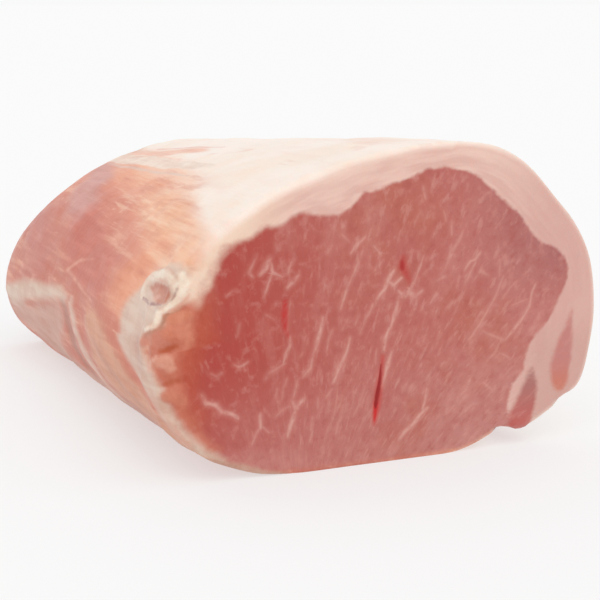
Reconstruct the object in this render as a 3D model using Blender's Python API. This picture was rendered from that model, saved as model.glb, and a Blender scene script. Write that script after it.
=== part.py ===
"""A raw boneless pork loin joint, cut across at both ends.

The joint lies on its flat underside with the fat cap on top and to the right.
X runs across the front cut face, Y runs along the loin away from that face, and
Z is up. The origin is under the middle of the joint. It has four solids that
run its whole length: the eye muscle, the fat cap that wraps its top and right
side, and two thin muscles that lie inside the fat at the lower right.

Places on a cross-section are given as an angle and a radius about the loin's
axis, with 0 degrees to the right and 90 straight up.
"""

import math

import bmesh
import bpy
import numpy as np

MM = 0.001
LENGTH = 170.0
GAP = 0.3

# The loin's axis, as (x, z) in mm, at the front cut and at the back cut.
FRONT_AXIS = np.array((0.0, 40.0))
BACK_AXIS = np.array((-8.0, 34.0))

# Outlines of the two ends as (x, z) in mm, anticlockwise from the right. The dip
# at the lower right is the notch where the lower muscle meets the eye.
FRONT_OUTLINE = (
    (65.2, 40), (63.2, 51), (58.6, 60), (52.2, 67.4), (45.2, 75), (37.6, 80.8), (28, 84),
    (14.5, 84.2), (0, 82.2), (-14, 79), (-27, 74.8), (-38, 69.4), (-47.8, 62.5), (-55, 54.5),
    (-60, 45.5), (-62, 35), (-60.6, 23.6), (-55.6, 13), (-47, 5), (-35.4, 0.5), (-18, -1), (2, -1),
    (20, -0.6), (28, 1.2), (33, 3.6), (35.6, 6), (38.5, 4.2), (44, 4.2), (49.5, 7.4), (54, 10.6),
    (59, 11.8), (62, 16), (64, 24), (65.2, 32),
)
BACK_OUTLINE = (
    (50.5, 36), (49.5, 46), (45, 55), (37, 62.2), (26, 67.4), (13, 69.6), (0, 70.2), (-12, 69.4),
    (-25, 66.2), (-37.4, 60.6), (-48.4, 53.2), (-58, 44.4), (-64.9, 35), (-68.4, 24.7),
    (-67.2, 14.2), (-61.8, 5.6), (-52.8, 0.2), (-38, -1), (-14, -1), (8, -1), (23, -0.2), (30, 2),
    (34, 4.4), (38, 5), (43, 9.5), (47.5, 17), (49.8, 26),
)

# How far each cut's rim rounds over into the sides, as (angle, mm).
FRONT_RIM = ((-180, 9), (-150, 4), (-120, 1), (-60, 0.9), (-20, 1.6), (90, 2.2), (135, 3), (160, 6))
BACK_RIM = ((-180, 4), (-120, 2.5), (-60, 2), (0, 3), (90, 4))
FRONT_RIM_RINGS = 3
BACK_RIM_RINGS = 2
MIDDLE_RINGS = 10

# Depth of the fat under the outline, as (angle, mm).
FAT_DEPTH = (
    (-46, 1.2), (-43, 4), (-37, 10.8), (-32, 14.2), (-26, 18.8), (-20, 21.2), (-13, 20), (-7, 16),
    (-1, 13.2), (4, 9.6), (11, 7.4), (14.5, 9.4), (19, 12.3), (26, 12.6), (32, 11.8), (44, 12.7),
    (52, 10.6), (60, 9.1), (68, 8.8), (86, 9.2), (100, 9.2), (108, 11.4), (116, 12), (125, 10.8),
    (131, 9.2), (140, 9.4), (150.5, 8.8), (152.5, 5.2), (157, 6.2), (165, 7), (175, 8),
)
FAT_AT_CUT = 1.8

# Scallops along the fat's lower edge, as (angle of the cusp, mm it stands up).
LEAN_CUSPS = ((143.5, 2.6), (131.5, 2.2), (86.5, 1), (73, 2.6), (65, 2))
CUSP_WIDTH = 2.6

# The fat starts at the notch and ends at its trimmed edge on the left side, which
# is given as (mm from the front cut, angle).
NOTCH = -45.0
TRIMMED_EDGE = ((4, 173), (10, 166), (20, 152), (36, 142), (56, 132), (85, 121), (120, 114), (150, 109))

# Columns of the surface: up to TOP_RIGHT they stay put, and from there they close
# up towards the trimmed edge.
TOP_RIGHT = 60.0
COLUMNS_RIGHT = 35
COLUMNS_TOP = 38
COLUMNS_BARE = 46

# Outlines of the two thin muscles in the fat, at the front cut, in mm.
SIDE_MUSCLE = (
    (57.2, 37), (55.6, 33), (52.6, 27), (51, 20), (52.8, 14.6), (55.6, 14.8), (57, 20), (57.6, 29),
)
LOWER_MUSCLE = (
    (44.8, 21.3), (43.2, 18.6), (40.8, 13), (38.4, 8.6), (39.2, 3), (43.8, 3), (46, 10), (46.4, 17),
)
# Broad swells and hollows of the bare left side: (mm from the front cut, angle, half
# width in mm, height in mm).
SIDE_SWELLS = (
    (30, 166, 14, -1.6), (46, 194, 20, 1), (78, 148, 22, -1.2), (104, 186, 18, -1.3),
    (128, 158, 20, 1.2), (150, 196, 16, 0.5),
)
STRIP_OVERRUN = 0.04
STRIP_RINGS = 6


def smooth_closed(points, between=12):
    """A closed Catmull-Rom curve through the points, as an array."""
    knots = np.array(points, float)
    before, after, beyond = np.roll(knots, 1, 0), np.roll(knots, -1, 0), np.roll(knots, -2, 0)
    steps = []
    for t in np.linspace(0, 1, between, endpoint=False):
        steps.append(0.5 * (
            2 * knots
            + (after - before) * t
            + (2 * before - 5 * knots + 4 * after - beyond) * t**2
            + (3 * knots - before - 3 * after + beyond) * t**3
        ))
    return np.stack(steps, 1).reshape(-1, 2)


def around(table, angles):
    """Values read at the angles from a table of (angle, value) that goes right round."""
    angle, value = np.array(table, float).T
    return np.interp(angles, np.concatenate([angle - 360, angle, angle + 360]), np.tile(value, 3))


def outline_radius(outline, axis, angles):
    """The outline's distance from the axis at each angle."""
    x, z = (smooth_closed(outline) - axis).T
    turned = np.degrees(np.arctan2(z, x))
    order = np.argsort(turned)
    return around(np.column_stack([turned, np.hypot(x, z)])[order], angles)


def side_radius(angles, along):
    """Radius of the outer side, with along from 0 at the front cut to 1 at the back."""
    front = outline_radius(FRONT_OUTLINE, FRONT_AXIS, angles)
    back = outline_radius(BACK_OUTLINE, BACK_AXIS, angles)
    return front + (back - front) * along


def fat_depth(angles):
    depth = around(FAT_DEPTH, angles)
    for angle, height in LEAN_CUSPS:
        depth = depth - height * np.exp(-np.abs(angles - angle) / CUSP_WIDTH)
    return depth


def side_swell(angles, y):
    swell = np.zeros_like(angles)
    for along, angle, half_width, height in SIDE_SWELLS:
        around_side = np.radians(angles - angle) * side_radius(np.array([angle]), along / LENGTH)
        away = np.hypot(around_side, y - along) / half_width
        swell += height * np.exp(-away**2)
    return swell


def ring_stations():
    """(place along the loin, share of the front rim's turn, share of the back rim's)."""
    stations = [(0.0, i / FRONT_RIM_RINGS, None) for i in range(FRONT_RIM_RINGS)]
    stations += [(along, None, None) for along in np.linspace(0.06, 0.95, MIDDLE_RINGS)]
    stations += [(1.0, None, i / BACK_RIM_RINGS) for i in reversed(range(BACK_RIM_RINGS))]
    return stations


def section(station, angles):
    """Outer radius, fat's inner radius and y, in mm, at each angle of one ring."""
    along, front_turn, back_turn = station
    inset = np.zeros_like(angles)
    y = np.full_like(angles, along * LENGTH)
    if front_turn is not None:
        rim, turn = around(FRONT_RIM, angles), math.radians(90 * front_turn)
        inset, y = rim * (1 - math.sin(turn)), rim * (1 - math.cos(turn))
    if back_turn is not None:
        rim, turn = around(BACK_RIM, angles), math.radians(90 * back_turn)
        inset, y = rim * (1 - math.sin(turn)), LENGTH - rim * (1 - math.cos(turn))
    side = side_radius(angles, y / LENGTH) + side_swell(angles % 360, y)
    outer = side - inset
    return outer, np.minimum(side - fat_depth(angles), outer - FAT_AT_CUT), y


def placed(angles, radius, y):
    """Points in metres at the angles and radii about the axis, none below the table."""
    axis = FRONT_AXIS + np.outer(y / LENGTH, BACK_AXIS - FRONT_AXIS)
    turn = np.radians(angles)
    x = axis[:, 0] + radius * np.cos(turn)
    z = np.maximum(axis[:, 1] + radius * np.sin(turn), 0)
    return np.column_stack([x, y, z]) * MM


def fat_angles(along):
    edge = np.interp(along * LENGTH, *np.array(TRIMMED_EDGE, float).T)
    right = np.linspace(NOTCH, TOP_RIGHT, COLUMNS_RIGHT, endpoint=False)
    return np.concatenate([right, np.linspace(TOP_RIGHT, edge, COLUMNS_TOP)])


def whole_ring(station):
    covered = fat_angles(station[0])
    bare = np.linspace(covered[-1], NOTCH + 360, COLUMNS_BARE)[1:-1]
    angles = np.concatenate([covered, bare])
    outer, _, y = section(station, angles)
    return placed(angles, outer, y)


def eye_ring(station):
    """The eye muscle: under the fat where it is covered, and at the outside elsewhere."""
    covered = fat_angles(station[0])
    bare = np.linspace(covered[-1], NOTCH + 360, COLUMNS_BARE)
    _, inner, y_covered = section(station, covered)
    outer, _, y_bare = section(station, bare)
    return np.concatenate([placed(covered, inner, y_covered), placed(bare, outer, y_bare)])


def fat_rows(station):
    """One ring of the fat cap: its outside and inside from the notch to the trimmed edge."""
    angles = fat_angles(station[0])
    outer, inner, y = section(station, angles)
    short = angles.copy()
    short[0] += np.degrees(GAP / inner[0])
    short[-1] -= np.degrees(GAP / inner[-1])
    outer, inner, y = (np.interp(short, angles, values) for values in (outer, inner, y))
    return placed(short, outer, y), placed(short, inner + GAP, y)


def skin(mesh, rows):
    """Triangles over rows of vertices, with every cell split the same way."""
    for near, far in zip(rows, rows[1:]):
        for i in range(len(near) - 1):
            mesh.faces.new((near[i], near[i + 1], far[i + 1]))
            mesh.faces.new((near[i], far[i + 1], far[i]))


def object_from(name, mesh):
    bmesh.ops.recalc_face_normals(mesh, faces=mesh.faces)
    data = bpy.data.meshes.new(name)
    mesh.to_mesh(data)
    mesh.free()
    data.shade_smooth()
    data.set_sharp_from_angle(angle=math.radians(40))
    made = bpy.data.objects.new(name, data)
    bpy.context.collection.objects.link(made)
    return made


def lofted(name, rings):
    """A closed body over rings of points, with a flat cut at each end."""
    mesh = bmesh.new()
    rows = [[mesh.verts.new(point) for point in ring] for ring in rings]
    skin(mesh, [row + row[:1] for row in rows])
    mesh.faces.new(rows[0])
    mesh.faces.new(rows[-1])
    return object_from(name, mesh)


def wrapped(name, layers):
    """A closed blanket between an outer and an inner row of points at each station."""
    mesh = bmesh.new()
    outside, inside = (
        [[mesh.verts.new(point) for point in layer] for layer in side] for side in zip(*layers)
    )
    skin(mesh, outside)
    skin(mesh, inside)
    skin(mesh, [outside[0], inside[0]])
    skin(mesh, [outside[-1], inside[-1]])
    skin(mesh, [[row[0] for row in outside], [row[0] for row in inside]])
    skin(mesh, [[row[-1] for row in inside], [row[-1] for row in outside]])
    return object_from(name, mesh)


def strip(name, outline, grown=0.0):
    """A thin muscle that follows the outer side along the loin, or the room for it."""
    curve = smooth_closed(outline, 4)
    middle = curve.mean(0)
    away = curve - middle
    curve = curve + away * grown / np.hypot(*away.T)[:, None]
    outward = (middle - FRONT_AXIS) / np.hypot(*(middle - FRONT_AXIS))
    angle = np.degrees(np.arctan2(outward[1], outward[0]))
    rings = []
    for along in np.linspace(-STRIP_OVERRUN, 1 + STRIP_OVERRUN, STRIP_RINGS):
        moved = (side_radius(angle, along) - side_radius(angle, 0)) * outward
        x, z = (curve + moved + (BACK_AXIS - FRONT_AXIS) * along).T
        rings.append(np.column_stack([x, np.full_like(x, along * LENGTH), z]) * MM)
    return lofted(name, rings)


def boolean(target, operation, cutter):
    modifier = target.modifiers.new(cutter.name, "BOOLEAN")
    modifier.operation = operation
    modifier.object = cutter
    cutter.hide_render = True
    cutter.display_type = "WIRE"


def finish(target, colour, roughness):
    material = bpy.data.materials.new(target.name)
    material.use_nodes = True
    shader = material.node_tree.nodes["Principled BSDF"]
    shader.inputs["Base Color"].default_value = (*colour, 1)
    shader.inputs["Roughness"].default_value = roughness
    target.data.materials.append(material)


for old in list(bpy.data.objects):
    bpy.data.objects.remove(old)

whole = lofted("whole_joint", [whole_ring(station) for station in ring_stations()])

eye = lofted("eye_muscle", [eye_ring(station) for station in ring_stations()])
finish(eye, (0.42, 0.11, 0.1), 0.4)

fat = wrapped("fat_cap", [fat_rows(station) for station in ring_stations()])
boolean(fat, "DIFFERENCE", strip("side_muscle_room", SIDE_MUSCLE, GAP))
boolean(fat, "DIFFERENCE", strip("lower_muscle_room", LOWER_MUSCLE, GAP))
finish(fat, (0.78, 0.6, 0.52), 0.45)

side = strip("side_muscle", SIDE_MUSCLE)
boolean(side, "INTERSECT", whole)
finish(side, (0.55, 0.2, 0.17), 0.4)

lower = strip("lower_muscle", LOWER_MUSCLE)
boolean(lower, "INTERSECT", whole)
finish(lower, (0.55, 0.2, 0.17), 0.4)

middle = bpy.data.objects.new("loin_middle", None)
bpy.context.collection.objects.link(middle)
for piece in bpy.data.objects:
    if piece.type == "MESH":
        piece.parent = middle
across = [corner[0] for corner in whole.bound_box]
middle.location = (-(min(across) + max(across)) / 2, -LENGTH * MM / 2, 0)
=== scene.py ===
import math

import bpy
import numpy as np
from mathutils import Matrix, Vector, noise
from mathutils.bvhtree import BVHTree


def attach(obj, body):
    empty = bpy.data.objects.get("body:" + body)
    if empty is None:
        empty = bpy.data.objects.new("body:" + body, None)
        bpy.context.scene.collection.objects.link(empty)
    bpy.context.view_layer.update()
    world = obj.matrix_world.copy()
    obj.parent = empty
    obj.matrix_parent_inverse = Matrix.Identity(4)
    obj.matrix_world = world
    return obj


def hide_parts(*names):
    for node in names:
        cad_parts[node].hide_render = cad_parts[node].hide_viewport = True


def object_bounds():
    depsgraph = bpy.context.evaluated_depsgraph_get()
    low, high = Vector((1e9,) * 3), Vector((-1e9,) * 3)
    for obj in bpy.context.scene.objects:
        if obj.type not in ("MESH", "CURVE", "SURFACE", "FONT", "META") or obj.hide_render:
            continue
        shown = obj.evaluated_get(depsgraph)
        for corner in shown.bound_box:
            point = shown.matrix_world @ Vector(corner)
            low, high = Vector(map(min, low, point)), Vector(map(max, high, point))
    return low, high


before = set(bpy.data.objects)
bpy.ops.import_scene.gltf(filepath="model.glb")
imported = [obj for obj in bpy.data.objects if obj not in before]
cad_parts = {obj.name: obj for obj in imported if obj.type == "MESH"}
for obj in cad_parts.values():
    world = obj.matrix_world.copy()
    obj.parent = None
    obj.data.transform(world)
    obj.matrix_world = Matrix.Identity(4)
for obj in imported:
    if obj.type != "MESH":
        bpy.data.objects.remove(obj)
cad_low, cad_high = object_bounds()

# The skin of the joint: one closed surface over the eye muscle, the fat cap and the two
# thin muscles, which lie flush against one another in a fresh cut. It is laid out as rings
# of points from the middle of the front cut, over its rim, along the sides to the back cut.
MM = 0.001
FRONT_MIDDLE = np.array((0.0017, 0.0400))
BACK_MIDDLE = np.array((-0.0063, 0.0340))
LENGTH = cad_high.y - cad_low.y
LEFT_COLUMNS, RIGHT_COLUMNS, UNDER_COLUMNS = 104, 196, 46
DETAILED_LEFT = (152, 214)
SIDE_ROWS = 146
RIM_ZONE = 10 * MM
RIM_STEPS = np.concatenate([np.arange(9.25, 0.6, -0.75), (0.4,)]) * MM
FACE_STEPS = np.concatenate([(0.0, 0.4), np.arange(0.9, 9.9, 0.9)]) * MM
FRONT_RINGS = 46
BACK_RINGS = 26
SLIT_DEPTH = 0.25 * MM
AROUND_PASSES = 10
ALONG_PASSES = 45
RIM_FADE_ROWS = (-4, 12)

column_turns = np.concatenate([
    np.linspace(-90, DETAILED_LEFT[0], RIGHT_COLUMNS, endpoint=False),
    np.linspace(*DETAILED_LEFT, LEFT_COLUMNS, endpoint=False),
    np.linspace(DETAILED_LEFT[1], 270, UNDER_COLUMNS, endpoint=False),
])
columns = len(column_turns)
turns = np.radians(column_turns)
outward = np.column_stack([np.cos(turns), np.zeros(columns), np.sin(turns)])


def tree_of(*names):
    points, faces = [], []
    for name in names:
        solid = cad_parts[name].data
        start = len(points)
        points += [vertex.co.copy() for vertex in solid.vertices]
        faces += [[start + i for i in face.vertices] for face in solid.polygons]
    return BVHTree.FromPolygons(points, faces)


def middle_at(y):
    """Points on the loin's middle line at the given places along it."""
    share = (np.asarray(y) - cad_low.y) / LENGTH
    x, z = FRONT_MIDDLE[:, None] + np.outer(BACK_MIDDLE - FRONT_MIDDLE, share)
    return np.column_stack([x, np.broadcast_to(y, x.shape), z])


def reach(tree, origins, directions, far=0.12):
    """How far the joint's outside is from each origin along its direction."""
    found = np.empty(len(origins))
    for i, (origin, direction) in enumerate(zip(origins, directions)):
        ray = Vector(direction)
        hit = tree.ray_cast(Vector(origin) + ray * far, -ray)
        found[i] = far - hit[3] if hit[0] else np.nan
    return found


def without_slits(rows):
    """The rows with any ray that slipped into a joint line put back on its neighbours."""
    padded = np.pad(rows, ((1, 1), (4, 4)), "wrap")
    padded[0], padded[-1] = padded[1], padded[-2]
    height, width = rows.shape
    near = [padded[i:i + height, j:j + width] for i in range(3) for j in range(9)]
    usual = np.nanmedian(near, 0)
    return np.where(np.isnan(rows) | (rows < usual - SLIT_DEPTH), usual, rows)


def rim_and_face(tree, end, inward, rings):
    """Rows from the side's last ring over the rim to the middle of a cut face."""
    y = end + inward * RIM_ZONE
    middle = middle_at(np.full(columns, y))
    corner = middle + outward * (reach(tree, middle, outward) - RIM_ZONE)[:, None]
    targets = [(end + inward * step, 0.0) for step in RIM_STEPS] + [(end, step) for step in FACE_STEPS]
    rays = []
    for along, inset in targets:
        aim = outward * (RIM_ZONE - inset)
        aim[:, 1] = along - y
        rays.append(aim / np.linalg.norm(aim, axis=1)[:, None])
    spread = without_slits(np.array([reach(tree, corner, ray) for ray in rays]))
    points = [corner + ray * far[:, None] for ray, far in zip(rays, spread)]
    hub = middle_at([end])
    points += [hub + (points[-1] - hub) * (1 - i / rings) for i in range(1, rings)]
    return points


def eased(low, high, value):
    share = np.clip((value - low) / (high - low), 0, 1)
    return share * share * (3 - 2 * share)


def outward_of(points):
    across = np.roll(points, -1, 1) - np.roll(points, 1, 1)
    normal = np.cross(np.gradient(points, axis=0), across)
    return normal / np.maximum(np.linalg.norm(normal, axis=2), 1e-12)[..., None]


joint = tree_of("eye_muscle", "fat_cap", "side_muscle", "lower_muscle")
side_y = np.linspace(cad_low.y + RIM_ZONE, cad_high.y - RIM_ZONE, SIDE_ROWS)
side_reach = without_slits(np.array([
    reach(joint, middle_at(np.full(columns, y)), outward) for y in side_y
]))
side_rows = [
    middle_at(np.full(columns, y)) + outward * far[:, None] for y, far in zip(side_y, side_reach)
]
front_rows = rim_and_face(joint, cad_low.y, 1, FRONT_RINGS)[::-1]
back_rows = rim_and_face(joint, cad_high.y, -1, BACK_RINGS)
skin = np.array(front_rows + side_rows + back_rows)
side_start, side_end = len(front_rows), len(front_rows) + SIDE_ROWS
row = np.arange(len(skin))[:, None]

# Smoothing takes the facets off: round the loin everywhere, and along it only away from
# the rims, which stay as tight as they are cut.
def evened_round(rows):
    return (np.roll(rows, 1, 1) + 2 * rows + np.roll(rows, -1, 1)) / 4


def evened_along(rows):
    evened = rows.copy()
    evened[1:-1] = (rows[:-2] + 2 * rows[1:-1] + rows[2:]) / 4
    return evened


for _ in range(AROUND_PASSES):
    skin = evened_round(skin)
softer = skin
for _ in range(ALONG_PASSES):
    softer = evened_along(softer)
rows_from_rim = np.minimum(row - side_start, side_end - 1 - row)
skin += (softer - skin) * eased(*RIM_FADE_ROWS, rows_from_rim)[..., None]

# Where each point of the skin is, in millimetres and degrees: round the loin from 0 at the
# right by 90 at the top, out from the front cut's edge, and in from the nearer cut's edge.
normals = outward_of(skin)
offset = skin - middle_at(skin[..., 1].ravel()).reshape(skin.shape)
degrees = np.degrees(np.arctan2(offset[..., 2], offset[..., 0])) % 360
across_mm = (skin[..., 0] - FRONT_MIDDLE[0]) / MM
up_mm = skin[..., 2] / MM
steps = np.linalg.norm(np.diff(skin, axis=0), axis=2) / MM
walked = np.concatenate([np.zeros((1, columns)), np.cumsum(steps, 0)])
on_cut_face = np.abs(normals[..., 1]) > math.sqrt(0.5)
front_edge = np.take_along_axis(walked, np.argmin(on_cut_face[:side_end], 0)[None], 0)
back_edge = np.take_along_axis(
    walked, len(skin) - 1 - np.argmin(on_cut_face[::-1][:len(skin) - side_start], 0)[None], 0)
out_mm = walked - front_edge
in_from_cut = np.maximum(-out_mm, walked - back_edge)

grid = np.arange(skin.shape[0] * columns).reshape(-1, columns)
hub_number = grid.size
beside = np.roll(grid, -1, 1)
quads = np.stack([grid[:-1], grid[1:], beside[1:], beside[:-1]], -1).reshape(-1, 4)
first_fan = np.column_stack([np.full(columns, hub_number), grid[0], beside[0]])
last_fan = np.column_stack([np.full(columns, hub_number + 1), beside[-1], grid[-1]])
mesh = bpy.data.meshes.new("pork_loin")
mesh.from_pydata(
    np.concatenate([skin.reshape(-1, 3), middle_at([cad_low.y, cad_high.y])]).tolist(), [],
    quads.tolist() + first_fan.tolist() + last_fan.tolist())
mesh.shade_smooth()
loin = bpy.data.objects.new("pork_loin", mesh)
bpy.context.collection.objects.link(loin)
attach(loin, "root")
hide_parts("eye_muscle", "fat_cap", "side_muscle", "lower_muscle")

pork = bpy.data.materials.new("raw_pork")
pork.use_nodes = True
mesh.materials.append(pork)
nodes, links = pork.node_tree.nodes, pork.node_tree.links
shader = nodes["Principled BSDF"]
relief = np.zeros(degrees.shape)

distance = {}
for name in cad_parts:
    tree = tree_of(name)
    distance[name] = np.array([
        tree.find_nearest(Vector(point))[3] / MM for point in skin.reshape(-1, 3)
    ]).reshape(degrees.shape)


# The lean on the cuts: the pale red eye muscle, deeper at the left and mauve at the upper
# right. Its marbling is thin fat that runs with the grain, which fans up from a point
# under the joint, in crooked lines with fine flecks between them.
LIGHT = 0.97
SHEEN = 0.045
GRAIN_ROOT = (-24.0, -34.0)
GRAIN_SPREAD = 70
EYE_PLACE = Vector((-0.1512, -0.4055, 0.11924))
EYE_TURN, EYE_DROP = math.radians(22), math.radians(12)
LENS_MM, SENSOR_MM = 84, 36
VIEW_WIDTH = 600
STOUT_FROM, STOUTER = 0.9, 1.3
FRONT_VEINS = (
    # (half width in mm, how pale, places as (right, down) in the camera's view)
    (0.3, 0.6, (255.8, 256.7), (252.5, 265), (249, 273), (251.7, 276.7)),
    (0.7, 0.9, (269, 260), (265, 267.5), (261, 272.5)),
    (0.4, 0.9, (271, 265), (271.7, 273), (280, 275.5)), (0.35, 0.8, (271, 275), (268, 283), (266, 292.5)),
    (0.35, 0.7, (291, 264), (288, 273), (284, 276)),
    (0.45, 1, (296.7, 277.5), (292.5, 282.5), (289, 286.7)),
    (0.25, 0.5, (288, 271), (290, 278), (288, 288)),
    (0.35, 0.8, (290, 338), (290, 345), (286.7, 352.5), (284, 364)),
    (0.35, 0.8, (284, 365), (276.7, 370), (270.8, 372.5), (266.7, 378)),
    (0.45, 1, (321.7, 319), (320, 333), (317.5, 341.7), (315.8, 349)),
    (0.4, 0.7, (314, 351), (312.5, 358), (310.8, 368), (305, 374.5)),
    (0.3, 0.6, (332.5, 331), (328, 341.7), (326.7, 350)),
    (0.3, 0.5, (305.8, 338), (303, 353), (300, 358)),
    (0.38, 0.9, (349, 339.5), (347, 351), (343, 361), (338, 370), (333, 381.7)),
    (0.3, 0.7, (296.7, 381.7), (295, 390), (292.5, 399)),
    (0.5, 1, (292.5, 401.7), (295, 406.7), (303, 400)),
    (0.45, 0.9, (295.8, 408), (293, 419), (290, 426.7), (287.5, 435)),
    (0.28, 0.6, (288, 406.7), (283, 410), (278, 415)),
    (0.45, 0.95, (202.5, 396.7), (206, 403), (216.7, 405), (221.7, 411.7), (231.7, 414), (236.7, 417.5)),
    (0.6, 0.9, (260.8, 416.7), (260.8, 426)), (0.32, 0.6, (260, 428), (256.7, 433), (253, 443)),
    (0.28, 0.6, (261, 426), (268, 431.7)), (0.35, 0.7, (235.8, 365), (240, 367.5), (246.7, 363)),
    (0.4, 0.5, (228, 295), (232, 292)), (0.3, 0.5, (286.7, 380), (284, 387)),
    (0.4, 0.6, (277.5, 391), (277, 396)), (0.35, 0.6, (283, 392), (283, 397)),
    (0.4, 0.5, (211.7, 375), (216.7, 377.5), (220.8, 374)), (0.4, 0.5, (317.5, 400), (317.5, 406)),
    (0.35, 0.5, (336.7, 424), (335.8, 432)), (0.35, 0.6, (330.8, 390), (326.7, 396)),
    (0.25, 0.5, (290, 303), (288, 318), (287.5, 330)), (0.3, 0.5, (312, 418), (311, 428)),
    (0.35, 0.5, (312, 434), (310, 440)), (0.3, 0.4, (240, 325), (238, 335)),
    (0.35, 0.5, (268, 315), (273, 318)), (0.65, 0.7, (363.6, 237.7), (356, 245), (351.8, 251)),
    (0.3, 0.8, (361.8, 252), (356, 266.8), (350, 281), (345.5, 292), (341, 307)),
    (0.35, 0.5, (343.6, 236), (348, 241)), (0.35, 0.6, (375, 248), (379, 253)),
    (0.4, 0.7, (380, 264), (376, 269)),
    (0.42, 1, (392.7, 272), (388, 279.5), (384.5, 288.6), (380, 294), (377, 299.5)),
    (0.38, 0.9, (388, 281), (393.6, 284), (400, 279)),
    (0.48, 1, (400, 292), (403.6, 295.5), (408, 292.5), (415.5, 295.5), (420, 292)),
    (0.38, 0.9, (399, 297.7), (396, 308.6), (392.7, 319.5), (391, 327)),
    (0.5, 1, (389, 330), (386, 339.5), (384.5, 349)),
    (0.38, 0.9, (391, 354), (388, 363), (385.5, 372), (382.7, 385)),
    (0.35, 0.8, (412.7, 283), (410, 289.5)), (0.28, 0.6, (423.6, 257.7), (419, 268.6), (414.5, 279.5)),
    (0.4, 0.8, (424.5, 189), (425.5, 197)), (0.3, 0.6, (444, 213), (445.5, 218)),
    (0.35, 0.8, (451.8, 223), (451.8, 233)),
    (0.35, 0.7, (461.8, 233), (458, 241), (453.6, 247), (450, 257.7), (446, 267)),
    (0.35, 0.8, (478, 254), (475.5, 258.6), (470, 261), (465.5, 268.6)),
    (0.28, 0.7, (474.5, 263), (470, 272), (465.5, 283), (463.6, 290.5)),
    (0.3, 0.6, (480, 270), (474.5, 278)), (0.35, 0.7, (481, 272), (487, 275)),
    (0.28, 0.5, (448, 276), (442.7, 277), (436, 282)), (0.35, 0.6, (436, 294), (431, 302)),
    (0.3, 0.6, (504.5, 256), (500, 261), (500, 274)),
    (0.25, 0.75, (503, 278), (499, 286), (494.5, 297.7), (489, 306.8), (483.6, 316), (479, 325),
     (472.7, 336), (470, 339)),
    (0.25, 0.6, (482.7, 330.5), (488, 335), (497, 337.7), (504, 340)),
    (0.38, 0.8, (535, 285), (531.8, 294), (530, 305), (525.5, 312), (519, 321), (513.6, 328.6),
     (507, 337.7)),
    (0.22, 0.5, (516, 282), (509, 288.6), (504, 295)), (0.22, 0.5, (529, 299), (520, 302), (512, 305)),
    (0.42, 0.9, (371.8, 306), (368, 314)), (0.25, 0.5, (366, 318), (360, 332)),
    (0.3, 0.6, (358, 315), (355.5, 322)), (0.32, 0.5, (347, 320), (343, 328)),
    (0.32, 0.8, (429, 379.5), (426, 390.5), (424.5, 401), (422.7, 410.5)),
    (0.45, 0.95, (426, 408.6), (419, 416), (411.8, 425), (404.5, 432), (400, 438)),
    (0.3, 0.6, (470, 379.5), (465.5, 390.5), (461, 395)), (0.4, 0.6, (484, 384), (490, 388)),
    (0.4, 0.6, (503, 354), (509, 358)), (0.3, 0.5, (466, 411), (471, 405), (478, 403)),
    (0.3, 0.5, (358, 405), (353.6, 414)), (0.3, 0.4, (364, 390), (360, 399)),
    (0.25, 0.5, (427, 329), (422.7, 340)), (0.22, 0.4, (420, 213), (416, 221)),
    (0.28, 0.4, (448, 395), (446, 412)), (0.25, 0.45, (377, 352), (376, 362)),
    (0.22, 0.4, (401, 330), (396, 342)), (0.22, 0.4, (440, 335), (435, 346)),
)
BACK_VEINS = 60
VEIN_LAYERS = 4
VEIN_TAPER = 0.55
CUT_ACROSS, CUT_UP = (-56, 56), (2, 78)
VEIN_SWAY, VEIN_CROOK = 0.3, 0.5
VEIN_LENGTHS = (3, 2.6)
FAR_OFF = 9.0
rng = np.random.default_rng(11)

# The front cut's lines are placed as the camera sees them, and each falls on the cut where
# its line of sight meets it.
looking = Vector((
    math.sin(EYE_TURN) * math.cos(EYE_DROP), math.cos(EYE_TURN) * math.cos(EYE_DROP), -math.sin(EYE_DROP)))
view_right = looking.cross(Vector((0, 0, 1))).normalized()
view_up = view_right.cross(looking)


def on_front_cut(right, down):
    """Where a place in the camera's view falls on the front cut, as (across, up) in mm."""
    aside = view_right * (right - VIEW_WIDTH / 2) + view_up * (VIEW_WIDTH / 2 - down)
    sight = looking + aside * (SENSOR_MM / LENS_MM / VIEW_WIDTH)
    spot = EYE_PLACE + sight * ((cad_low.y - EYE_PLACE.y) / sight.y)
    return (spot.x - FRONT_MIDDLE[0]) / MM, spot.z / MM


front_veins = [
    (half * (STOUTER if paleness >= STOUT_FROM else 1), paleness, [on_front_cut(*spot) for spot in spots])
    for half, paleness, *spots in FRONT_VEINS
]


def grain_turn(x, z):
    return np.arctan2(z - GRAIN_ROOT[1], x - GRAIN_ROOT[0])


def scattered(number):
    """Veins strewn over a cut along its grain, each as front_veins gives one."""
    veins = []
    for x, z in zip(rng.uniform(*CUT_ACROSS, number), rng.uniform(*CUT_UP, number)):
        turn = grain_turn(x, z) + rng.normal(0, VEIN_SWAY)
        along = np.linspace(-0.5, 0.5, 4) * (rng.gamma(*VEIN_LENGTHS) + 1)
        aside = rng.normal(0, VEIN_CROOK, 4)
        places = zip(x + along * math.cos(turn) - aside * math.sin(turn),
                     z + along * math.sin(turn) + aside * math.cos(turn))
        veins.append((rng.uniform(0.2, 0.45), rng.uniform(0.4, 0.9), tuple(places)))
    return veins


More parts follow.
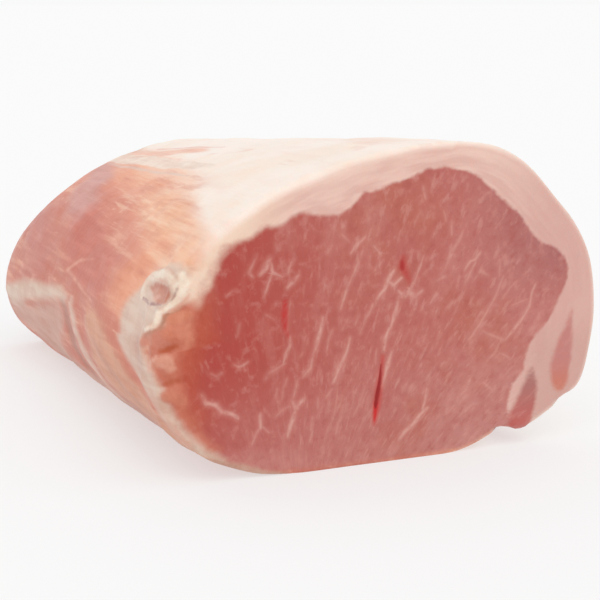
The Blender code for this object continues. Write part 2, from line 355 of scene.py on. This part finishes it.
def marbled(veins, x, z):
    """mm to one side of the nearest vein, mm beyond its edge, its half width and paleness."""
    side, beyond = np.full(x.shape, FAR_OFF), np.full(x.shape, FAR_OFF)
    half, tone = np.full(x.shape, 0.3), np.zeros(x.shape)
    for widest, strength, places in veins:
        ends = [widest * VEIN_TAPER]
        widths = ends + [widest] * (len(places) - 2) + ends
        for (x0, z0), (x1, z1), w0, w1 in zip(places, places[1:], widths, widths[1:]):
            dx, dz = x1 - x0, z1 - z0
            length = math.hypot(dx, dz)
            share = np.clip(((x - x0) * dx + (z - z0) * dz) / length**2, 0, 1)
            width = w0 + (w1 - w0) * share
            away = np.hypot(x - x0 - share * dx, z - z0 - share * dz) - width
            nearer = away < beyond
            side = np.where(nearer, ((x - x0) * dz - (z - z0) * dx) / length, side)
            half = np.where(nearer, width, half)
            tone = np.where(nearer, strength, tone)
            beyond = np.minimum(away, beyond)
    return side, beyond, half, tone


def feed(socket, value):
    if isinstance(value, bpy.types.NodeSocket):
        links.new(value, socket)
    else:
        socket.default_value = value


def painted(name, rows):
    """Stores one value for each point of the skin, and reads it back in the material."""
    values = np.concatenate([np.ravel(rows), (rows[0].mean(), rows[-1].mean())])
    mesh.attributes.new(name, "FLOAT", "POINT").data.foreach_set("value", values.astype(np.float32))
    node = nodes.new("ShaderNodeAttribute")
    node.attribute_name = name
    return node.outputs["Fac"]


def maths(operation, first, second=0.0):
    node = nodes.new("ShaderNodeMath")
    node.operation = operation
    feed(node.inputs[0], first)
    feed(node.inputs[1], second)
    return node.outputs[0]


def plus(first, second):
    return maths("ADD", first, second)


def times(first, second):
    return maths("MULTIPLY", first, second)


def within(value, none, full, most=1.0):
    """0 where the value is at none, most where it is at full, and eased between the two."""
    node = nodes.new("ShaderNodeMapRange")
    node.interpolation_type = "SMOOTHSTEP"
    for socket, given in zip(node.inputs, (value, none, full, 0.0, most)):
        feed(socket, given)
    return node.outputs[0]


def rgb(red, green, blue):
    """The paint for a colour seen in this room, less the pale sheen that wet meat adds to it."""
    parts = (c / 255 for c in (red, green, blue))
    seen = (((c + 0.055) / 1.055) ** 2.4 if c > 0.04045 else c / 12.92 for c in parts)
    return tuple(min(max(c / LIGHT - SHEEN, 0.004), 0.95) for c in seen) + (1,)


def over(share, below, above):
    """The colour above laid over the one below, by its share."""
    node = nodes.new("ShaderNodeMix")
    node.data_type = "RGBA"
    feed(node.inputs["Factor"], share)
    feed(node.inputs["A"], below)
    feed(node.inputs["B"], above)
    return node.outputs["Result"]


def shades(value, *stops):
    """A run of colours along the value, each given with where it stands from 0 to 1."""
    node = nodes.new("ShaderNodeValToRGB")
    ramp = node.color_ramp
    while len(ramp.elements) < len(stops):
        ramp.elements.new(0.5)
    for element, (place, colour) in zip(ramp.elements, stops):
        element.position = place
        element.color = colour
    feed(node.inputs["Fac"], value)
    return node.outputs["Color"]


def clouds(vector, scale, detail=3.0, roughness=0.55):
    """Noise about zero, from about -0.3 to 0.3."""
    node = nodes.new("ShaderNodeTexNoise")
    feed(node.inputs["Vector"], vector)
    feed(node.inputs["Scale"], scale)
    feed(node.inputs["Detail"], detail)
    feed(node.inputs["Roughness"], roughness)
    return plus(node.outputs["Fac"], -0.5)


def threads(vector, scale, half=0.03):
    """Thin crooked lines, 1 along each line and 0 between them."""
    return within(maths("ABSOLUTE", clouds(vector, scale, 2)), half, half * 0.2)


def mapped(vector, turn, scale):
    node = nodes.new("ShaderNodeMapping")
    feed(node.inputs["Vector"], vector)
    node.inputs["Rotation"].default_value = turn
    node.inputs["Scale"].default_value = scale
    return node.outputs["Vector"]


def joined(x, y, z=0.0):
    node = nodes.new("ShaderNodeCombineXYZ")
    for socket, value in zip(node.inputs, (x, y, z)):
        feed(socket, value)
    return node.outputs[0]


place = nodes.new("ShaderNodeTexCoord").outputs["Object"]
broad = clouds(place, 24, 2)
patches = clouds(place, 62, 2)
small = clouds(place, 130, 3)
mottle = clouds(place, 420, 3)
jitter = clouds(place, 620, 2)
wobble = clouds(place, 170, 0)
across = painted("across", across_mm)
up = painted("up", up_mm)
in_from_edge = painted("in_from_edge", in_from_cut)
on_cut = within(plus(in_from_edge, times(broad, 2)), -0.9, 2.0)

grain_along = np.hypot(across_mm - GRAIN_ROOT[0], up_mm - GRAIN_ROOT[1])
grain_across = grain_turn(across_mm, up_mm) * GRAIN_SPREAD
fan_across = times(painted("grain_across", grain_across), MM)
fan_along = painted("grain_along", grain_along)
grain = joined(fan_across, times(fan_along, 0.3 * MM))
bundles = clouds(grain, 150, 3)
fibres = clouds(grain, 620, 3)
flecks = clouds(joined(fan_across, times(fan_along, 0.28 * MM), 3.0), 640, 2)
flecks = times(within(flecks, 0.07, 0.24), within(plus(patches, small), -0.2, 0.25))
half_way = len(skin) // 2
vein = glow = 0.0
back_veins = scattered(BACK_VEINS)
for layer in range(VEIN_LAYERS):
    # The veins are dealt out in turn into the layers, so that ones next to each other in the list don't run
    # together.
    side, beyond, half, tone = (np.concatenate(pair) for pair in zip(
        marbled(front_veins[layer::VEIN_LAYERS], across_mm[:half_way], up_mm[:half_way]),
        marbled(back_veins[layer::VEIN_LAYERS], across_mm[half_way:], up_mm[half_way:])))
    away = maths("ABSOLUTE", plus(painted(f"vein_side_{layer}", side), times(wobble, 0.8)))
    away = plus(plus(away, times(mottle, 1.3)), times(painted(f"vein_half_{layer}", half), -0.8))
    paleness = painted(f"vein_tone_{layer}", tone)
    past = painted(f"vein_beyond_{layer}", beyond)
    halo = times(within(away, 1.7, -0.2), within(past, 1.8, 0.2))
    glow = maths("MAXIMUM", glow, times(halo, paleness))
    line = times(within(away, 0.5, -0.4), within(past, 1.0, 0.0))
    vein = maths("MAXIMUM", vein, times(line, paleness))
vein = times(vein, within(plus(small, mottle), -0.35, 0.2))

cut_lean = over(within(plus(across, times(broad, 16)), -50, -2), rgb(180, 85, 78), rgb(190, 115, 107))
cut_lean = over(within(across, 4, 46), cut_lean, rgb(196, 129, 122))
mauve = times(within(plus(across, times(broad, 14)), 16, 56), within(up, 34, 60))
cut_lean = over(times(mauve, 0.9), cut_lean, rgb(169, 108, 107))
low_share = times(within(up, 36, 6), plus(within(across, -68, -34, 0.42), within(across, -10, 20, 0.3)))
cut_lean = over(low_share, cut_lean, rgb(199, 141, 134))
cut_lean = over(times(within(up, 10, 3, 0.55), within(across, -12, -28)), cut_lean, rgb(205, 145, 137))
cut_lean = over(within(plus(broad, times(small, 0.5)), 0.0, 0.2, 0.45), cut_lean, rgb(190, 114, 97))
cut_lean = over(within(bundles, 0.0, 0.24, 0.28), cut_lean, rgb(208, 148, 138))
cut_lean = over(within(bundles, -0.02, -0.22, 0.25), cut_lean, rgb(180, 98, 92))
cut_lean = over(within(mottle, 0.02, 0.22, 0.3), cut_lean, rgb(211, 151, 141))
cut_lean = over(within(mottle, -0.02, -0.22, 0.3), cut_lean, rgb(174, 92, 84))
fibre_share = within(across, -52, 0)
cut_lean = over(times(within(fibres, 0.02, 0.2, 0.36), fibre_share), cut_lean, rgb(216, 160, 150))
cut_lean = over(times(within(fibres, -0.02, -0.2, 0.3), fibre_share), cut_lean, rgb(180, 103, 97))
cut_lean = over(times(flecks, 0.4), cut_lean, rgb(218, 162, 151))
cut_lean = over(times(glow, 0.3), cut_lean, rgb(212, 150, 139))
cut_lean = over(times(vein, 0.64), cut_lean, rgb(228, 181, 169))

# The bare lean of the left side, where the cap is trimmed off: coral muscle whose fibres
# run back and down, orange and pale next to the cap and duller towards the back.
FIBRE_DROP = math.radians(-20)
CAP_STEP = 0.3
CAP_TOUCHES = (
    # (mm, across, up, spread): where the cut lean reaches further into the fat, or less far
    (-1.1, -43, 60, 4), (-0.9, -34.5, 63.4, 3.5), (-5, 37, 4, 3.6),
)
side_grain = mapped(place, (FIBRE_DROP, 0, 0), (1, 0.13, 1))
strands = clouds(side_grain, 190, 4, 0.62)
sheaves = clouds(side_grain, 62, 3)
wisps = clouds(mapped(place, (FIBRE_DROP, 0, 0), (1, 0.08, 1)), 360, 3, 0.6)
cap_mm = distance["eye_muscle"] - distance["fat_cap"]
for wanted_mm, x, z, spread in CAP_TOUCHES:
    nearness = np.exp(-((across_mm - x) ** 2 + (up_mm - z) ** 2) / spread**2)
    cap_mm += wanted_mm * nearness * (out_mm < 3)
cap = painted("cap", cap_mm)
toward_cap = within(plus(cap, plus(times(strands, 16), times(sheaves, 16))), -48, 7)
side_lean = shades(
    toward_cap, (0.0, rgb(203, 130, 113)), (0.3, rgb(213, 134, 113)), (0.55, rgb(224, 149, 124)),
    (0.76, rgb(238, 176, 145)), (0.9, rgb(243, 203, 179)), (1.0, rgb(249, 228, 213)))
side_lean = over(within(strands, 0.03, 0.2, 0.5), side_lean, rgb(238, 188, 162))
side_lean = over(within(strands, -0.03, -0.2, 0.4), side_lean, rgb(200, 112, 96))
side_lean = over(within(sheaves, -0.02, -0.22, 0.5), side_lean, rgb(204, 118, 102))
side_lean = over(within(wisps, 0.0, 0.22, 0.4), side_lean, rgb(238, 184, 156))
side_lean = over(within(wisps, 0.0, -0.22, 0.4), side_lean, rgb(202, 116, 99))
side_threads = times(threads(side_grain, 110), within(small, 0.0, 0.2, 0.5))
side_lean = over(side_threads, side_lean, rgb(240, 196, 174))

# The fat cap: pale back fat, white and dry on its outside and pinker where it is cut, with
# faint layers that follow the outline.
outline = joined(times(in_from_edge, 0.5 * MM), times(painted("round", degrees), 0.06 * MM))
layers = clouds(outline, 900, 2)
lengthwise = mapped(place, (0, 0, 0), (1, 0.16, 1))
membrane = clouds(lengthwise, 70, 3)
cap_fat = over(within(broad, -0.12, 0.14), rgb(249, 235, 225), rgb(246, 228, 214))
cap_fat = over(within(small, 0.0, 0.25, 0.4), cap_fat, rgb(248, 224, 203))
cap_fat = over(within(membrane, 0.04, 0.22, 0.45), cap_fat, rgb(240, 208, 195))
cap_threads = times(threads(lengthwise, 46, 0.02), within(patches, 0.0, 0.2, 0.35))
cap_fat = over(cap_threads, cap_fat, rgb(226, 178, 164))
cap_fat = over(within(across, 18, 64, 0.5), cap_fat, rgb(236, 206, 190))
cut_fat = over(within(layers, -0.14, 0.14), rgb(225, 184, 172), rgb(234, 198, 185))
cut_fat = over(within(cap, 2, 9, 0.5), cut_fat, rgb(240, 211, 196))
cut_fat = over(within(across, 26, 52, 0.75), cut_fat, rgb(214, 167, 158))
cut_fat = over(times(within(across, 38, 48), within(up, 38, 24, 0.5)), cut_fat, rgb(205, 162, 152))
cut_fat = over(within(across, -22, -42), cut_fat, rgb(240, 212, 191))
fat = over(on_cut, cap_fat, cut_fat)
lean = over(on_cut, side_lean, cut_lean)
cap_edge = plus(cap, plus(times(jitter, 0.7), times(strands, within(in_from_edge, -2, -8, 9.0))))
cap_edge = plus(cap_edge, times(small, times(on_cut, 3.2)))
soft_edge = plus(within(in_from_edge, -2, -8, 3.2), within(across, 0, -44, 0.8))
soft_edge = plus(soft_edge, 0.75)
colour = over(within(cap_edge, times(soft_edge, -1), soft_edge), lean, fat)
relief += CAP_STEP * eased(-2.5, 2.5, cap_mm) * (in_from_cut < -1)

# The thin films, seams and lumps that lie over the left side and its rim, and a painted shade
# in the crease between two of them. Each is drawn as a band through places given as (degrees,
# mm out from the front cut, half width in mm).
RADIUS_MM = 58.0
ALONG_SHARE = 0.45
MARGIN_PLACES = ((140, 90, 12), (150, 60, 14), (158, 30, 12), (166, 8, 5))
LEFT_BANDS = {
    # name: (colour, most, softness mm, raggedness mm, height mm, places)
    "thin_fat": ((238, 182, 150), 0.9, 4, 16, 0.3, (
        (146, 68, 4), (150.5, 48, 6), (154.5, 30, 6.4), (159, 18, 5.6), (163, 8, 3.4))),
    "haze": ((208, 152, 145), 0.85, 3, 9, 0, (
        (130, 165, 4), (141, 142, 4.5), (150, 134, 5), (156, 122, 4.5), (160, 112, 2))),
    "deep": ((204, 120, 106), 0.85, 4, 12, 0.4, (
        (160, 104, 4), (166, 92, 7), (172, 80, 7), (173, 58, 5), (171, 44, 3))),
    "deep_back": ((200, 128, 118), 0.8, 4, 8, 0.3, (
        (166, 156, 4), (172, 142, 6), (178, 126, 6), (182, 134, 4))),
    "orange": ((236, 171, 142), 0.6, 3.5, 16, 0.2, (
        (157, 26, 1), (163, 33, 2), (170, 38, 2.4), (176, 36, 1.4))),
    "lilac": ((206, 163, 149), 0.9, 2.5, 6, -0.4, (
        (191, 96, 4), (195, 108, 5.5), (199, 126, 6), (204, 112, 6), (196, 148, 5))),
    # Painted shade: a brown line darkening the crease between the far lump and the lower seam.
    "shade_between_lumps": ((186, 131, 118), 0.9, 1, 3, -0.6, (
        (185.5, 88, 1), (188, 83, 1.6), (192.3, 79.5, 1.9), (196.4, 79, 1.8), (201.5, 76, 1.4),
        (206, 70, 1))),
    "peach": ((215, 160, 136), 0.95, 1.6, 4, 0.3, (
        (185.5, 52, 3), (188.5, 46, 5), (193, 40, 6.4), (198, 31, 6.4), (201, 20, 5.4), (204, 10, 4),
        (209, 3, 2.4), (217, 0.5, 1.4))),
    "peach_dark": ((200, 145, 126), 0.7, 1, 3, -0.3, (
        (190, 47, 0.8), (194, 38, 1.2), (199, 31, 1), (203, 18, 0.8))),
    "low_grey": ((201, 158, 144), 0.75, 2.5, 2, 0, (
        (208, 112, 4), (209, 60, 4), (208, 34, 3), (209, 14, 2.4), (213, 5, 1.6))),
    "far_lump": ((220, 197, 181), 0.9, 1.7, 5, 0.6, (
        (192, 152, 3.4), (188, 130, 3.2), (186, 110, 2.6), (184, 95, 2.2), (184.5, 86, 1.4))),
    "lower_seam": ((219, 186, 171), 0.9, 1.2, 3, 0.5, (
        (183.5, 80, 0.8), (187.5, 73, 1.5), (190.9, 70, 1.7), (193.6, 66, 1.5), (197, 64, 1.7),
        (199.5, 60, 2.0), (203, 53, 1.6), (206, 44, 1))),
    "fleck": ((229, 176, 156), 0.65, 0.7, 2, 0.2, (
        (171, 74, 0.1), (173, 85, 0.3), (177, 92, 0.5), (178.4, 80, 0.5), (180.2, 66, 0.3),
        (181, 54, 0.1))),
    "film": ((237, 218, 204), 0.85, 0.9, 2.4, 0.2, (
        (119, 172, 6), (121.5, 150, 6.6), (122.5, 125, 5.4), (123, 98, 4), (121, 70, 2))),
    "film_rim": ((222, 196, 187), 0.7, 0.7, 2, 0.2, (
        (128.5, 160, 0.8), (130.5, 140, 0.9), (131, 122, 0.9), (130.5, 100, 0.8), (129.5, 72, 0.4))),
    "window": ((237, 186, 165), 0.9, 2, 7, -0.2, (
        (115, 156, 3), (112.5, 140, 4.4), (110, 124, 4), (105, 108, 2))),
    "window_edge": ((228, 165, 140), 0.6, 0.9, 3, 0, (
        (119.5, 148, 0.6), (118, 134, 1), (113, 120, 0.6))),
    "top_line": ((224, 158, 147), 0.6, 1, 3, 0, ((106, 146, 0.9), (102, 122, 1.2), (98, 98, 0.8))),
    "warm_rim": ((193, 102, 82), 0.75, 4.5, 12, 0, (
        (171, -8, 1.6), (177, -8, 2.6), (184, -8.5, 3), (190, -8.5, 3), (197, -8, 2.4), (204, -7, 1))),
    "warm_edge": ((207, 131, 110), 0.8, 2, 5, 0, (
        (173, -4, 1.6), (178, -3, 3.4), (184, -2.5, 4.2), (190, -2.5, 4.2), (197, -3.4, 3.2),
        (205, -3.4, 2.2), (213, -2.8, 1.4))),
    "seam": ((219, 193, 178), 0.96, 1.5, 4.2, 0.35, (
        (167, 3, 3.4), (170.5, 9, 4.8), (174, 13, 4.8), (177.5, 16, 5.0), (181.5, 19.5, 4.2),
        (184.5, 19, 3.9), (187, 14, 4.1), (189.2, 9.8, 3.6), (191.8, 5.5, 3.1), (194.1, 2, 2.7),
        (197.7, 0, 2.4), (201.7, -0.9, 2), (205.8, -1.2, 1.7), (211.9, -1.2, 1.4), (217.4, -0.8, 1.1))),
    "seam_stain": ((205, 165, 151), 0.75, 1.2, 3, -0.3, (
        (183.5, 14, 0.8), (187.2, 10, 1.6), (190, 8.5, 0.8))),
    "seam_low": ((220, 177, 160), 0.7, 1.5, 2, 0, ((195, 3, 1), (201, 0, 1.6), (208, -0.5, 1.4))),
    "heel": ((202, 163, 147), 0.9, 0.9, 1.6, 0, (
        (217, -0.2, 1.2), (222, -0.4, 1.7), (228, 0, 1.5), (235, 0.4, 0.8))),
}


def inside_line(spots, ends, half):
    """How far inside a line of the given half widths each spot is, in mm."""
    best = np.full(spots.shape[:-1], -99.0)
    for start, end, wide, narrow in zip(ends, ends[1:], half, half[1:]):
        along = end - start
        share = np.clip(((spots - start) @ along) / (along @ along), 0, 1)
        away = np.linalg.norm(spots - start - share[..., None] * along, axis=-1)
        best = np.maximum(best, wide + (narrow - wide) * share - away)
    return best


def unrolled(turned, out):
    """The left side laid flat, drawn together along the loin as its seams run that way."""
    return np.stack([
        np.asarray(turned, float) * math.radians(RADIUS_MM),
        np.where(np.asarray(out) > 0, np.asarray(out) * ALONG_SHARE, out),
    ], -1)


def uneven(tint):
    """The paint for a colour that is a little deeper and redder in places."""
    red, green, blue = tint
    deeper = rgb(red * 0.97, green * 0.93, blue * 0.91)
    paler = rgb(red * 1.02, green * 1.04, blue * 1.04)
    return over(within(plus(small, wisps), -0.25, 0.25), deeper, paler)


flat_side = unrolled(degrees, out_mm)
for name, (tint, most, softness, ragged, height, places) in LEFT_BANDS.items():
    turned, out, half = np.array(places, float).T
    inside = np.where(walked > back_edge + 1, -9, inside_line(flat_side, unrolled(turned, out), half))
    rough = times(sheaves, ragged) if softness > 1 else times(plus(strands, small), ragged * 0.5)
    share = within(plus(painted(name, inside), rough), -softness, softness, most)
    colour = over(share, colour, uneven(tint))
    relief += height * eased(-1.4, 1.4, inside)

# Next to the cap the lean's fibres show in stronger light and dark.
turned, out, half = np.array(MARGIN_PLACES, float).T
near_margin = painted("near_margin", inside_line(flat_side, unrolled(turned, out), half))
near_margin = times(within(near_margin, -2, 8), within(cap, 14, 2))
colour = over(times(near_margin, within(wisps, 0.0, 0.22, 0.45)), colour, rgb(246, 216, 190))
colour = over(times(near_margin, within(wisps, 0.03, -0.2, 0.65)), colour, rgb(226, 154, 128))

# The ring: a small round muscle end in a collar of fat, at the rim of the front cut. Below
# it the seam's bright crest turns down over the rim, and soft lobes of lean curl out under
# it; shade is painted under the crest and in the creases between the lobes. Each mark is a
# line through places (right, up, half width), in mm from the ring's core.
RING_PLACE = (171.2, 7.6)
RING_LINE = np.array((0.366, 0.907, -0.208))
RING_REACH = 34
RELIEF_PASSES = 3
RIM_MARKS = {
    # name: (colour, most, softness mm, height mm, places)
    "orange_lobe": ((215, 143, 118), 0.9, 0.9, 0.5, (
        (1.6, -5.6, 1.4), (4.5, -5.8, 1.9), (7, -5.2, 1.2))),
    "upper_lobe": ((202, 131, 114), 0.85, 1.0, 0.9, (
        (-3.8, -12.4, 1.2), (-1.8, -10, 1.8), (0.4, -11.2, 2.6), (-0.6, -14, 1.8))),
    "tongue": ((211, 136, 113), 0.8, 1.1, 0.5, ((2.8, -9.6, 1.8), (6.2, -9.4, 2.2), (7.6, -11.5, 1.2))),
    # Painted shade: a dark line in the crease between the tongue and the peach lobe.
    "shade_between_lobes": ((186, 98, 74), 0.9, 0.6, -1.2, ((0.6, -14.4, 0.5), (2.6, -13.8, 0.9), (4.4, -13.1, 0.5))),
    "peach_lobe": ((216, 154, 134), 0.95, 0.7, 1.0, (
        (0, -16.9, 1.4), (1.8, -16.9, 1.9), (3, -18.2, 1.2))),
    "curl": ((224, 173, 156), 0.75, 0.45, 0.4, (
        (-2.6, -19.2, 0.3), (-1.9, -17.2, 0.5), (-0.3, -15.6, 0.35))),
    # Painted shade: a dark line in the crease between the peach lobe and the low lobe.
    "shade_between_lower_lobes": ((190, 106, 84), 0.85, 0.6, -0.9, (
        (1.2, -22.6, 0.5), (3, -22, 0.8), (5, -21.6, 0.5))),
    "low_lobe": ((205, 132, 111), 0.85, 0.8, 0.8, (
        (1.6, -25.4, 1.3), (3.4, -25.2, 1.6), (5.4, -26.6, 1.2))),
    "rim_shade": ((192, 140, 119), 0.8, 0.5, -0.7, (
        (5.8, -3.4, 0.4), (2.2, -5.2, 0.5), (1.2, -6.6, 0.5), (0.7, -8.4, 0.5), (-3, -10.2, 0.4))),
    "collar": ((238, 222, 206), 0.92, 0.6, 0.8, (
        (-5.4, -0.6, 0.7), (-4.6, 2.4, 1.0), (-2.6, 4.2, 1.1), (0.2, 4.9, 1.2), (2.8, 4.1, 1.1),
        (4.4, 2.0, 0.9), (4.6, 0.4, 0.5))),
    "crest": ((240, 223, 206), 0.95, 0.55, 0.8, (
        (6.2, 4.2, 1.0), (6.8, 2.6, 1.3), (6.2, 0.4, 1.0), (4.8, -1.8, 0.9), (2.2, -3.9, 0.7),
        (0.4, -4.9, 0.7), (0.1, -6.6, 0.6), (-0.9, -8.2, 0.6), (-3.2, -9, 0.5))),
    "crest_glow": ((226, 174, 153), 0.7, 0.5, 0, (
        (7.6, -0.4, 0.4), (5.6, -3.0, 0.5), (2.9, -4.6, 0.3))),
    "core": ((204, 146, 129), 0.97, 0.5, -0.8, ((-2.5, 1.3, 0.7), (-0.5, 0.5, 2.0), (0.5, -0.4, 2.4))),
    "core_pale": ((222, 180, 166), 0.7, 0.6, 0, ((-1.9, -1.5, 0.5), (-0.6, -0.6, 0.5))),
    "core_dark": ((190, 128, 112), 0.7, 0.6, -0.3, ((-1.4, 2.2, 0.4), (2.4, 1.2, 0.5), (2.6, -1, 0.5))),
    "left_gap": ((178, 140, 138), 0.9, 0.35, -0.7, (
        (-4.9, -1.3, 0.25), (-3.2, -2.5, 0.4), (0.4, -2.8, 0.25))),
    "right_gap": ((190, 156, 146), 0.85, 0.4, -0.6, (
        (5.0, 0.9, 0.25), (4.3, -0.6, 0.4), (3.4, -1.8, 0.25))),
}
ring_column = np.argmin(np.abs(column_turns - RING_PLACE[0]))
ring_row = np.argmin(np.abs(out_mm[:, ring_column] - RING_PLACE[1]))
from_ring = (skin - skin[ring_row, ring_column]) / MM
ring_right = np.cross(RING_LINE, (0, 0, 1))
ring_right /= np.linalg.norm(ring_right)
ring_spots = np.stack([from_ring @ ring_right, from_ring @ np.cross(ring_right, RING_LINE)], -1)
near_ring = np.linalg.norm(from_ring, axis=-1) < RING_REACH
for name, (tint, most, softness, height, places) in RIM_MARKS.items():
    marks = np.array(places, float)
    inside = np.where(near_ring, inside_line(ring_spots, marks[:, :2], marks[:, 2]), -9)
    share = within(plus(painted(name, inside), times(plus(jitter, small), 0.9)), -softness, softness, most)
    colour = over(share, colour, uneven(tint))
    relief += height * eased(-1.2, 1.2, inside)
for _ in range(RELIEF_PASSES):
    relief = evened_along(evened_round(relief))

# The two thin muscles in the fat at the lower right, darker at their lower ends. Shallow
# creases run back from between them and from under the eye.
LOWER_CREASES = (
    # (degrees, half width in degrees, depth in mm)
    (333.0, 1.9, 1.4), (315.9, 2.0, 2.4),
)
CREASE_LENGTH = 60
strip_mm = np.minimum(distance["eye_muscle"], distance["fat_cap"]) - np.minimum(
    distance["side_muscle"], distance["lower_muscle"])
strip = within(plus(painted("strip", strip_mm), plus(times(small, 1.6), times(jitter, 0.8))), -1.1, 1.1, 0.9)
lower_strip = over(within(up, 6, 20), rgb(191, 105, 99), rgb(173, 117, 112))
side_strip = over(within(up, 14, 24), rgb(206, 126, 106), rgb(198, 132, 126))
strip_lean = over(within(across, 46, 50), lower_strip, side_strip)
strip_lean = over(within(fibres, 0.0, 0.2, 0.3), strip_lean, rgb(214, 154, 144))
colour = over(strip, colour, strip_lean)
relief += 0.25 * eased(-0.5, 1.0, strip_mm)
for turned, wide, deep in LOWER_CREASES:
    crease = deep * np.exp(-((degrees - turned) / wide) ** 2)
    relief -= crease * eased(CREASE_LENGTH, 0, out_mm) * eased(-2.5, 0.5, out_mm)

# Where the knife nicked a vein: a wet red slit low in the cut and two smaller red marks.
SLIT_CUT = 0.5
BLOOD = {
    # name: (colour, most, softness mm, places), the places given as (across, up, half width)
    "stain_high": ((188, 66, 64), 0.6, 1.0, (
        (5.4, 54.8, 0.5), (5.2, 52.4, 1.2), (6.4, 50, 0.8), (7.2, 48.2, 0.3))),
    "stain_core": ((170, 34, 40), 0.75, 0.5, ((5.0, 53.6, 0.4), (5.1, 52, 0.6))),
    "stain_left": ((196, 62, 62), 0.75, 0.7, (
        (-27.3, 45.8, 0.5), (-27.6, 42.6, 0.9), (-27.5, 39.4, 0.7), (-26.9, 36.6, 0.3))),
    "slit_edge": ((200, 76, 74), 0.7, 0.8, (
        (0, 29, 0.3), (-0.6, 24, 0.6), (-1.3, 19, 1.0), (-2, 14, 1.0), (-2.4, 10.8, 0.4))),
    "slit_low": ((206, 54, 50), 0.9, 0.35, ((-1.9, 16.4, 0.5), (-2.2, 13.8, 0.5), (-2.4, 11.4, 0.2))),
    "slit": ((160, 16, 30), 0.92, 0.3, (
        (-0.4, 26.6, 0.15), (-0.8, 22, 0.4), (-1.5, 18.6, 0.6), (-1.9, 16.2, 0.5), (-2.0, 15, 0.2))),
}
for name, (tint, most, softness, places) in BLOOD.items():
    marks = np.array(places)
    inside = inside_line(np.stack([across_mm, up_mm], -1), marks[:, :2], marks[:, 2])
    inside = np.where(out_mm < 0, inside, -9)
    share = within(plus(painted(name, inside), times(mottle, softness)), -softness, softness, most)
    colour = over(share, colour, rgb(*tint))
    if name == "slit":
        relief -= SLIT_CUT * eased(-0.5, 0.4, inside)

# The wet surface: the swells and fibres of muscle and fat under the hand, a finer grain in
# the light, and light that sinks a little way in.
FACE_SWELL = 0.5 * MM


def swell(scale, stretch=(1, 1, 1), drop=0.0):
    """Soft noise over the skin, from about -0.5 to 0.5."""
    turned = skin.copy()
    turned[..., 1] = skin[..., 1] * math.cos(drop) - skin[..., 2] * math.sin(drop)
    turned[..., 2] = skin[..., 1] * math.sin(drop) + skin[..., 2] * math.cos(drop)
    return np.array([
        noise.noise(Vector(point)) for point in (turned * (np.array(stretch) * scale)).reshape(-1, 3)
    ]).reshape(degrees.shape)


on_fat = eased(-3, 3, cap_mm)
bare = (1 - on_fat) * eased(0, -4, in_from_cut)
relief += np.where(in_from_cut < 0, 0.7, 0.3) * swell(34) + 0.25 * swell(85)
relief += 0.3 * on_fat * eased(0, -5, in_from_cut) * swell(150, (1, 0.35, 1))
relief += 0.34 * bare * swell(230, (1, 0.13, 1), FIBRE_DROP)
skin += normals * (relief * MM)[..., None]
skin[..., 2] = np.maximum(skin[..., 2], 0)
skin[..., 1] = np.clip(skin[..., 1], cad_low.y - FACE_SWELL, cad_high.y + FACE_SWELL)
hubs = middle_at([skin[0, :, 1].mean(), skin[-1, :, 1].mean()])
moved = np.concatenate([skin.reshape(-1, 3), hubs])
mesh.vertices.foreach_set("co", moved.astype(np.float32).ravel())
mesh.update()

feed(shader.inputs["Base Color"], colour)
feed(shader.inputs["Roughness"], plus(times(small, 0.3), 0.42))
shader.inputs["Specular IOR Level"].default_value = 0.38
shader.inputs["Subsurface Weight"].default_value = 0.2
shader.inputs["Subsurface Radius"].default_value = (1.0, 0.4, 0.3)
shader.inputs["Subsurface Scale"].default_value = 0.002
bump = nodes.new("ShaderNodeBump")
bump.inputs["Strength"].default_value = 0.5
bump.inputs["Distance"].default_value = 0.0007
grain_height = plus(times(fibres, on_cut), times(plus(strands, wisps), plus(1, times(on_cut, -1))))
feed(bump.inputs["Height"], plus(grain_height, plus(times(mottle, 0.5), times(vein, 0.15))))
feed(shader.inputs["Normal"], bump.outputs["Normal"])

# The plain white table, which shines a little so that shadows on it stay pale.
FLOOR_HALF = 60
floor_mesh = bpy.data.meshes.new("floor")
floor_corners = [(x * FLOOR_HALF, y * FLOOR_HALF, 0) for x, y in ((-1, -1), (1, -1), (1, 1), (-1, 1))]
floor_mesh.from_pydata(floor_corners, [], [(0, 1, 2, 3)])
floor = bpy.data.objects.new("floor", floor_mesh)
bpy.context.collection.objects.link(floor)
white = bpy.data.materials.new("white_table")
white.use_nodes = True
table = white.node_tree.nodes["Principled BSDF"]
table.inputs["Base Color"].default_value = (0.4, 0.4, 0.4, 1)
table.inputs["Roughness"].default_value = 0.9
table.inputs["Specular IOR Level"].default_value = 0.0
table.inputs["Emission Color"].default_value = (1, 1, 1, 1)
table.inputs["Emission Strength"].default_value = 0.54
floor_mesh.materials.append(white)

# The soft light of a bright white room, a little stronger from above and in front.
room = bpy.data.worlds.new("bright_room")
room.use_nodes = True
room.node_tree.nodes["Background"].inputs["Color"].default_value = (1, 1, 1, 1)
room.node_tree.nodes["Background"].inputs["Strength"].default_value = 0.95
bpy.context.scene.world = room
lamp = bpy.data.objects.new("ceiling_light", bpy.data.lights.new("ceiling_light", "SUN"))
lamp.data.energy = 0.4
lamp.data.angle = math.radians(50)
lamp.rotation_euler = (math.radians(35), math.radians(-12), 0)
bpy.context.collection.objects.link(lamp)

# The camera stands near the front cut, a little to its left, and looks slightly down on it.
camera = bpy.data.objects.new("camera", bpy.data.cameras.new("camera"))
camera.data.lens = LENS_MM
camera.location = EYE_PLACE
camera.rotation_euler = looking.to_track_quat("-Z", "Y").to_euler()
bpy.context.collection.objects.link(camera)
bpy.context.scene.camera = camera
bpy.context.scene.view_settings.view_transform = "Standard"
